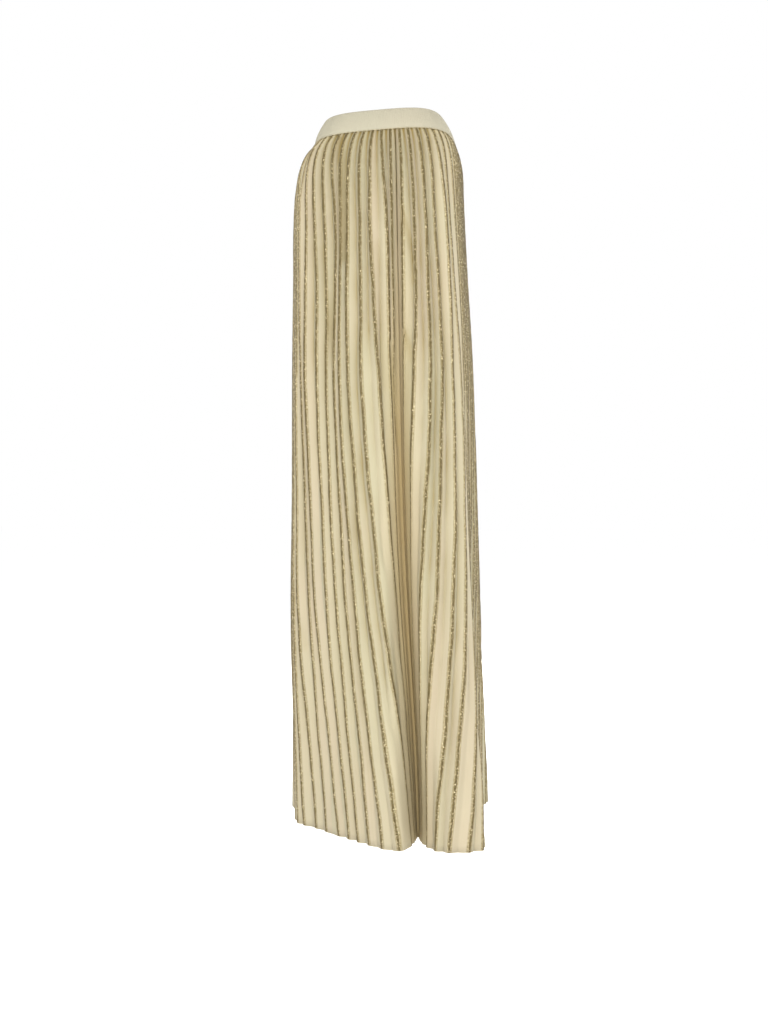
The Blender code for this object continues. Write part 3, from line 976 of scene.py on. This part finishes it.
# %% [markdown]
# ## The two panels
#
# A panel is its half of the pleats, on a grid of 385 columns and 118 rows. The rows are closest
# under the band, where the cloth spreads fastest. Both panels are measured from the right seam,
# the back one backwards and the front one forwards. The Solidify modifier then gives the shell
# the thickness of the knit, towards the inside.

# %% Rows of a panel
ROWS = 118
ROW_CROWDING = 1.5       # 1 is even rows, and more crowds them under the band
TUCKED_UP = 1.6          # the cloth's edge is held this far up inside the band
ROW_HEIGHTS = (SKIRT_LENGTH + TUCKED_UP) * np.linspace(0, 1, ROWS) ** ROW_CROWDING - TUCKED_UP
print("the first rows are at", np.round(ROW_HEIGHTS[:4], 1), "mm below the seam")

# %% Shade in the valleys and the folds
VALLEY_SHADE = 0.72      # how much painted shade darkens the bottom of a valley
VALLEY_NARROW = 4.5      # 1 spreads that over the whole face, and more keeps it in the valley
NOTCH_SHADE = 1.1        # the same for the gathers under the band
NOTCH_LENGTH = 14.0
SEAM_SHADE = 0.22        # and for the line of the seam
SEAM_SHADE_LENGTH = 2.5
CREASE_SHADE = 0.16      # for each millimetre of a crease's depth


def in_shade(share, creased, below):
    """Painted shade, 0 to 1, from the share of a pleat's depth and the depth of creases.

    0.72 share^4.5 in the valleys, plus 1.1 share^2 exp(-down/14) in the gathers, plus a painted
    shadow line at the seam, plus painted shade in the creases.
    """
    down = np.clip(below, 0, None)[:, None]
    valley = VALLEY_SHADE * share**VALLEY_NARROW
    notch = NOTCH_SHADE * share**2 * np.exp(-down / NOTCH_LENGTH)
    seam = SEAM_SHADE * np.exp(-down / SEAM_SHADE_LENGTH)
    crease = CREASE_SHADE * np.clip(creased, 0, None)
    return np.clip(valley + notch + seam + crease, 0, 1)


FOLD_IN_FULL = 32.0      # a fold this deep has its full effect
BELL_LEAST = 5.0         # the width of its bell at no depth
BELL_GROWTH = 0.55       # and how much wider it is for each millimetre of depth


def in_grooves(runs, panel_runs, below):
    """How far in the two side folds the cloth lies: a bell, exp(-(s/w)^2), round each seam.

    Its width w and its height grow with the depth of the fold.
    """
    total = np.zeros(runs.shape)
    for name, away in (("right_groove", runs), ("left_groove", panel_runs[:, None] - runs)):
        depth = fold_depth(NAMED_FOLDS[name], below)
        width = BELL_LEAST + BELL_GROWTH * depth
        total += np.clip(depth / FOLD_IN_FULL, 0, 1) * np.exp(-(away / width) ** 2)
    return total


print("colour in a valley:", in_shade(np.array([0.0, 0.5, 1.0]), 0.0, middle).round(2), "at 0, 1/2 and 1")

# %% Panels
CLOTH_THICK = 1.1
OUTSIDE = 0.15           # the knit stands this proud of its solid
FOLDED_FLAT = 0.85       # the share of its depth that a pleat loses inside a deep fold


def panel_surface(side, below):
    """The outer surface of a panel, how shaded and how far in a fold it is, and its flat widths.

    A point at run s from the seam lies on the crest loop there, moved in along the loop's
    normal by its depth in the pleat and by the creases. The pleats flatten where they are tucked
    up into the band, so that the band holds the cloth's edge all round.
    """
    laid = lay_pleats(side, below)
    loops, way = laid["loops"], laid["way"]
    runs, deep, spread = pleat_columns(laid["crests"], laid["valleys"], laid["depths"])
    groove = in_grooves(runs, laid["panel_runs"], below)
    open_pleats = np.clip(1 + below / TUCKED_UP, 0, 1)[:, None]
    deep = deep * (1 - FOLDED_FLAT * groove) * open_pleats
    wanted = laid["right_seam"] + way * runs
    inward = deep + pressed_in(way * runs, laid["lengths"], below) - OUTSIDE
    points = at_runs(loops, wanted) - at_runs(loops, wanted, outward(loops)) * inward[..., None]
    points = np.concatenate([points, heights_of(points, below)[..., None]], axis=2)
    share = deep / sections_at(below)["pleat_depth"]
    return points, in_shade(share, creased_in(way * runs, below), below), groove, spread


def make_panel(side):
    """One panel as a thin shell, with its shade and its place in the folds kept as attributes."""
    points, shade, groove, spread = panel_surface(side, ROW_HEIGHTS)
    if side == "front":
        points, shade, groove = points[:, ::-1], shade[:, ::-1], groove[:, ::-1]
    mesh = grid_mesh(f"{side}_panel", points, spread, ROW_HEIGHTS)
    for name, values in (("in_shade", shade), ("in_groove", groove)):
        attribute = mesh.attributes.new(name, "FLOAT", "POINT")
        attribute.data.foreach_set("value", values.astype(np.float32).ravel())
    panel = add_piece(f"{side}_panel", mesh, CLOTH, [f"skirt_{side}"])
    solidify = panel.modifiers.new("knit thickness", "SOLIDIFY")
    solidify.thickness = CLOTH_THICK * MM
    solidify.offset = -1.0
    return panel


panels = {side: make_panel(side) for side in ("back", "front")}

# %% [markdown]
# ## The metallic ribs
#
# On the real skirt one rib of the knit is worked in a gold metallic yarn, and the pleat is pressed
# along it, so each crest carries a narrow, raised, glittering line. Here every rib is a small
# half round carried down its crest. Its width and height waver from stitch to stitch, because a
# flat metallic yarn never lies quite even.

# %% Metallic yarn material
GOLD_YARN = (0.172, 0.130, 0.052)
GOLD_SHADE = (0.084, 0.062, 0.025)
GOLD_STITCH = (0.0013, 0.0016)
GOLD_THRESHOLD = 0.80    # a fifth of the flakes glint
SHADE_SHARE = 0.9        # how dark the darkest flake is
FLAKE_SHARE = 0.6        # of the bump


def make_gold_material():
    """Flat metallic yarn: dull olive gold, with small bright glints on random flakes.

    A glint is painted a paler gold, and it is also more of a metal than the dull yarn is, and smoother.
    """
    material, tree, shader = start_material("gold_rib_yarn")
    knit = place_knit(tree, GOLD_STITCH)
    flakes = place_group(tree, FLAKES, {"Threshold": GOLD_THRESHOLD})
    colour = shade_between(tree, times(tree, flakes["Shade"], SHADE_SHARE), GOLD_YARN, GOLD_SHADE)
    # painted highlight: the glinting flakes are a paler gold
    colour = shade_between(tree, flakes["Glint"], colour, GOLD_GLINT)
    tree.links.new(colour, shader.inputs["Base Color"])
    shader.inputs["Specular IOR Level"].default_value = HIGHLIGHT
    tree.links.new(blend(tree, flakes["Glint"], 0.3, 0.75), shader.inputs["Metallic"])
    tree.links.new(blend(tree, flakes["Glint"], 0.52, 0.30), shader.inputs["Roughness"])
    relief = plus(tree, knit["Height"], times(tree, flakes["Height"], FLAKE_SHARE))
    add_bump(tree, shader, relief, distance=0.0004)
    return material


GOLD = make_gold_material()
print("material:", GOLD.name)

# %% Ribs on the crests
RIB_ROWS = 250
RIB_HEIGHT = 0.65        # above the cloth
RIB_SUNK = 0.45          # below it
RIB_SQUEEZE = 0.85       # its share that is lost between the walls of a deep fold
RIB_TURN = TUBE_TURN + math.pi / 6
# How much the width and the height waver, the longest wave, and its turn from rib to rib.
RIB_WAVER = {"half": (0.16, 31.0, 3.1), "tall": (0.18, 23.0, 5.3)}


def wavering(name, numbers, below):
    """1 + a wander, for the width or the height of a rib."""
    share, longest, turn = RIB_WAVER[name]
    return 1.0 + share * wander(numbers * turn, below, longest)


def rib_rings(side, below):
    """Rings round the rib of each crest: c + a cos t along the loop + b sin t out of it.

    The half width a and the height b waver with the height and from rib to rib.
    """
    laid = lay_pleats(side, below)
    loops, crests = laid["loops"], laid["crests"]
    wanted = laid["right_seam"] + laid["way"] * crests
    out = at_runs(loops, wanted, outward(loops))
    inward = pressed_in(laid["way"] * crests, laid["lengths"], below) - OUTSIDE
    base = at_runs(loops, wanted) - out * inward[..., None]
    along = np.stack([out[..., 1], -out[..., 0]], axis=-1)
    numbers = laid["number"] + np.arange(PLEATS_A_PANEL)
    left = 1 - RIB_SQUEEZE * in_grooves(crests, laid["panel_runs"], below)
    half = RIB_HALF * left * wavering("half", numbers, below)
    tall = (RIB_HEIGHT + RIB_SUNK) / 2 * left * wavering("tall", numbers, below)
    centre = base + out * ((RIB_HEIGHT * left - RIB_SUNK) / 2)[..., None]
    across = half[..., None, None] * np.cos(RIB_TURN)[:, None] * along[..., None, :]
    upward = tall[..., None, None] * np.sin(RIB_TURN)[:, None] * out[..., None, :]
    rings = centre[..., None, :] + across + upward
    heights = np.broadcast_to(heights_of(base, below)[..., None], rings.shape[:-1])
    return np.concatenate([rings, heights[..., None]], axis=-1)


def make_ribs(side):
    """All the ribs of a panel as one piece: a closed tube for each crest, capped at both ends."""
    below = np.linspace(0, SKIRT_LENGTH, RIB_ROWS)
    rings = rib_rings(side, below).transpose(1, 0, 2, 3)
    if side == "back":
        rings = rings[:, :, ::-1]
    first = np.arange(PLEATS_A_PANEL)[:, None, None] * RIB_ROWS * TUBE_SIDES
    corners = (tube_corners(RIB_ROWS) + first).reshape(-1, 4)
    uv = np.tile(tube_uv(2 * RIB_HALF / TUBE_SIDES, below), (PLEATS_A_PANEL, 1))
    mesh = quad_mesh(f"{side}_ribs", rings.reshape(-1, 3), corners, uv)
    return add_piece(f"{side}_ribs", mesh, GOLD)


ribs = {side: make_ribs(side) for side in ("back", "front")}

# %% [markdown]
# ## The waistband
#
# The band is knitted too, in a fine one and one rib, doubled over elastic and pulled snug, so its
# top edge leans in. A profile runs up the outside, over the top, down the inside and under, and
# is carried round the waist. The ribs are a small wave on its outer and inner faces that fades
# out at the two folded edges.

# %% Band material
BAND_CREAM = (0.462, 0.415, 0.310)
BAND_CREAM_COOL = (0.438, 0.420, 0.315)
BAND_SHADE = (0.30, 0.265, 0.19)
BAND_STITCH = (0.0012, 0.0009)
BAND_PATCH = 0.09        # metres from a warmer patch to a cooler one
BAND_STITCH_SHARE = 0.3  # of the shade between the stitches


def make_band_material():
    """Ribbed knit, matt, a little greyer than the pleats."""
    material, tree, shader = start_material("waistband_rib_knit")
    knit = place_knit(tree, BAND_STITCH)
    mottle = place_group(tree, MOTTLE, {"Patch size": BAND_PATCH})
    cream = shade_between(tree, mottle["Broad"], BAND_CREAM, BAND_CREAM_COOL)
    cream = shade_between(tree, times(tree, knit["Between"], BAND_STITCH_SHARE), cream, BAND_SHADE)
    tree.links.new(cream, shader.inputs["Base Color"])
    tree.links.new(blend(tree, mottle["Fine"], 0.78, 0.90), shader.inputs["Roughness"])
    add_sheen(shader, weight=0.08, roughness=0.5, tint=(0.95, 0.92, 0.82))
    add_bump(tree, shader, knit["Height"], distance=0.0003)
    return material


BAND_KNIT = make_band_material()
print("material:", BAND_KNIT.name)

# %% Waistband
BAND_RIBS = 300
POINTS_A_RIB = 5
BAND_COLUMNS = BAND_RIBS * POINTS_A_RIB
BAND_RIB_HEIGHT = 0.16
BAND_SIDE_POINTS = 9
BAND_EDGE_POINTS = 5


def round_waist(count):
    """Points an equal run apart round the crests at the waist, the vectors out of them, the runs."""
    loops = crest_loops(np.zeros(1))[0]
    runs = np.arange(count) * runs_of(loops)[0, -1] / count
    return at_runs(loops, runs[None])[0], at_runs(loops, runs[None], outward(loops))[0], runs


def band_profile():
    """Height above the seam, and depth in from the outer face.

    Two straight sides, and a half circle over the top and under the bottom.
    """
    half = BAND_THICK / 2
    up = np.linspace(half, BAND_HEIGHT - half, BAND_SIDE_POINTS)
    over = np.linspace(math.pi, 0, BAND_EDGE_POINTS + 2)[1:-1]
    top = (BAND_HEIGHT - half + half * np.sin(over), half + half * np.cos(over))
    bottom = (half - half * np.sin(over), half - half * np.cos(over))
    above = np.concatenate([up, top[0], up[::-1], bottom[0]])
    depth = np.concatenate([np.zeros(len(up)), top[1], np.full(len(up), BAND_THICK), bottom[1]])
    return above, depth


def make_band():
    """The band as one closed ring.

    Each point of the profile is moved in by its depth and its lean, less the wave of the ribs,
    which changes sign half way through the band. The top edge is then narrowed a little, front to
    back.
    """
    ring, out, runs = round_waist(BAND_COLUMNS)
    above, depth = band_profile()
    wave = BAND_RIB_HEIGHT * np.cos(2 * math.pi * np.arange(BAND_COLUMNS) / POINTS_A_RIB)
    facing = 1 - 2 * depth / BAND_THICK
    moved = depth[:, None] - wave * facing[:, None] + BAND_RIB_HEIGHT
    lean = np.clip(above / BAND_HEIGHT, 0, 1)[:, None] ** BAND_LEAN_CURVE
    points = ring[None] - out[None] * (moved + BAND_LEAN * lean)[..., None]
    points[..., 1] *= 1 - BAND_TAPER * lean
    heights = above[:, None] - BAND_HEIGHT / 2 - WAIST_SLOPE * points[..., 1]
    points = np.concatenate([points, heights[..., None]], axis=2)
    steps = np.hypot(np.diff(above), np.diff(depth))
    up = np.concatenate([[0], np.cumsum(steps)])
    mesh = grid_mesh("band", points[:, ::-1], runs, up, closed_across=True, closed_down=True)
    return add_piece("band", mesh, BAND_KNIT, ["waistband"])


band = make_band()

# %% [markdown]
# ## The waist seam and the hem
#
# Two small edges finish the cloth. Under the band, a chain of linking stitches lies in the notch
# where the pleats go in. At the hem, the edge is overlocked with the cloth's own yarn, which makes
# a fine bead along the zigzag. Both are tubes: a ring of points, square to a path, carried along
# it.

# %% Waist seam
STITCHES_ROUND = 330
POINTS_A_STITCH = 5
SEAM_THREAD = 0.55
SEAM_IN = 1.15           # from the face of the band to the middle of the thread
SEAM_SWELL = 0.4


def tube_rings(path, side, radius):
    """Rings round a path of points (x, y, z): c + r (side cos t + up sin t)."""
    radius = np.broadcast_to(radius, len(path))[:, None, None]
    up = np.array([0.0, 0.0, 1.0]) * np.sin(TUBE_TURN)[:, None]
    outwards = np.concatenate([side, np.zeros((len(side), 1))], axis=1)[:, None]
    return path[:, None] + radius * (outwards * np.cos(TUBE_TURN)[:, None] + up)


def make_waist_seam():
    """A closed ring of stitches: the thread swells and thins once a stitch, r (1 + 0.4 cos)."""
    count = STITCHES_ROUND * POINTS_A_STITCH
    ring, side, runs = round_waist(count)
    flat = ring - side * SEAM_IN
    height = heights_of(flat[None], np.zeros(1))[0]
    swell = 1 + SEAM_SWELL * np.cos(2 * math.pi * np.arange(count) / POINTS_A_STITCH)
    rings = tube_rings(np.column_stack([flat, height]), side, SEAM_THREAD * swell)
    turns = np.arange(TUBE_SIDES) * SEAM_THREAD
    mesh = grid_mesh("waist_seam", rings, turns, runs, closed_across=True, closed_down=True)
    return add_piece("waist_seam", mesh, CLOTH)


make_waist_seam()

# %% Hem
HEM_THREAD = 0.72


def make_hem(side_name):
    """A thread along the lower edge of a panel, with closed ends."""
    points, _, _, spread = panel_surface(side_name, np.array([SKIRT_LENGTH]))
    path = points[0]
    ahead = np.gradient(path[:, :2], axis=0)
    ahead /= np.linalg.norm(ahead, axis=1)[:, None]
    side = np.stack([-ahead[:, 1], ahead[:, 0]], axis=1)
    if side_name == "front":
        side = -side
    path = path - np.column_stack([side, np.zeros(len(side))]) * CLOTH_THICK / 2
    rings = tube_rings(path, side, HEM_THREAD)
    if side_name == "back":
        rings = rings[:, ::-1]
    uv = tube_uv(HEM_THREAD, spread)
    mesh = quad_mesh(f"{side_name}_hem", rings.reshape(-1, 3), tube_corners(len(path)), uv)
    return add_piece(f"{side_name}_hem", mesh, CLOTH)


hems = {side: make_hem(side) for side in ("back", "front")}

# %% [markdown]
# ## The flat cloth
#
# Each panel takes 28 mm of cloth a pleat, and the band is cut to the length of the waist.

# %% [markdown]
# ## Floor and light
#
# The skirt is lit as in a white studio: an even surround and one large soft light above and
# behind the camera, so that faces turned to the camera are bright, and valleys and edges a little
# darker. Three more soft lights stand on the far side, for the views from there. The floor is
# plain and pale.

# %% Floor
WHITE = (1.0, 1.0, 1.0, 1.0)
FLOOR_LEVEL = -1.03      # 12 cm below the hem
FLOOR_REACH = 40.0
BACKDROP_STRENGTH = 1.0  # what the camera sees
AMBIENT_STRENGTH = 0.74  # what lights the cloth from all round
FLOOR_GLOW = 0.26        # makes up for the difference, so that the floor meets the backdrop


def make_floor():
    """A wide, flat, pale floor."""
    r, z = FLOOR_REACH, FLOOR_LEVEL
    mesh = bpy.data.meshes.new("studio_floor")
    mesh.from_pydata([(-r, -r, z), (r, -r, z), (r, r, z), (-r, r, z)], [], [(0, 1, 2, 3)])
    material, tree, shader = start_material("studio_floor_paint")
    shader.inputs["Base Color"].default_value = WHITE
    shader.inputs["Emission Color"].default_value = WHITE
    shader.inputs["Emission Strength"].default_value = FLOOR_GLOW
    shader.inputs["Roughness"].default_value = 0.9
    shader.inputs["Specular IOR Level"].default_value = 0.0
    mesh.materials.append(material)
    floor = bpy.data.objects.new("studio_floor", mesh)
    bpy.context.collection.objects.link(floor)


make_floor()
print("floor at", FLOOR_LEVEL)

# %% Lights
# A row for each light: its name, place, width, height, power, and the height that it is turned to.
LIGHTS = (
    ("key", (-3.2, -0.35, 0.4), 1.2, 2.0, 112.0, -0.5),
    ("far_side", (3.2, -0.2, 0.1), 1.2, 2.2, 62.0, -0.45),
    ("far_front", (2.4, -2.2, 0.3), 1.2, 2.0, 58.0, -0.45),
    ("far_back", (2.4, 2.2, 0.3), 1.2, 2.0, 46.0, -0.45),
)


def add_light(name, place, width, height, power, target_height):
    """An upright area light at a place, turned to a point on the skirt's axis."""
    light = bpy.data.lights.new(name, "AREA")
    light.shape = "RECTANGLE"
    light.size = width
    light.size_y = height
    light.energy = power
    thing = bpy.data.objects.new(name, light)
    bpy.context.collection.objects.link(thing)
    thing.location = place
    way = np.array((0.0, 0.0, target_height)) - np.array(place)
    flat = math.hypot(way[0], way[1])
    thing.rotation_euler = (math.atan2(flat, -way[2]), 0, math.atan2(way[1], way[0]) - math.pi / 2)


def make_surround():
    """A white world: the camera sees it at one strength, and it lights the cloth at another."""
    world = bpy.data.worlds.new("studio")
    world.use_nodes = True
    tree = world.node_tree
    backdrop = tree.nodes["Background"]
    backdrop.inputs["Color"].default_value = WHITE
    seen = tree.nodes.new("ShaderNodeLightPath").outputs["Is Camera Ray"]
    tree.links.new(blend(tree, seen, AMBIENT_STRENGTH, BACKDROP_STRENGTH), backdrop.inputs["Strength"])
    bpy.context.scene.world = world


make_surround()
for row in LIGHTS:
    add_light(*row)
bpy.context.scene.view_settings.view_transform = "Standard"
print(len(LIGHTS), "lights")
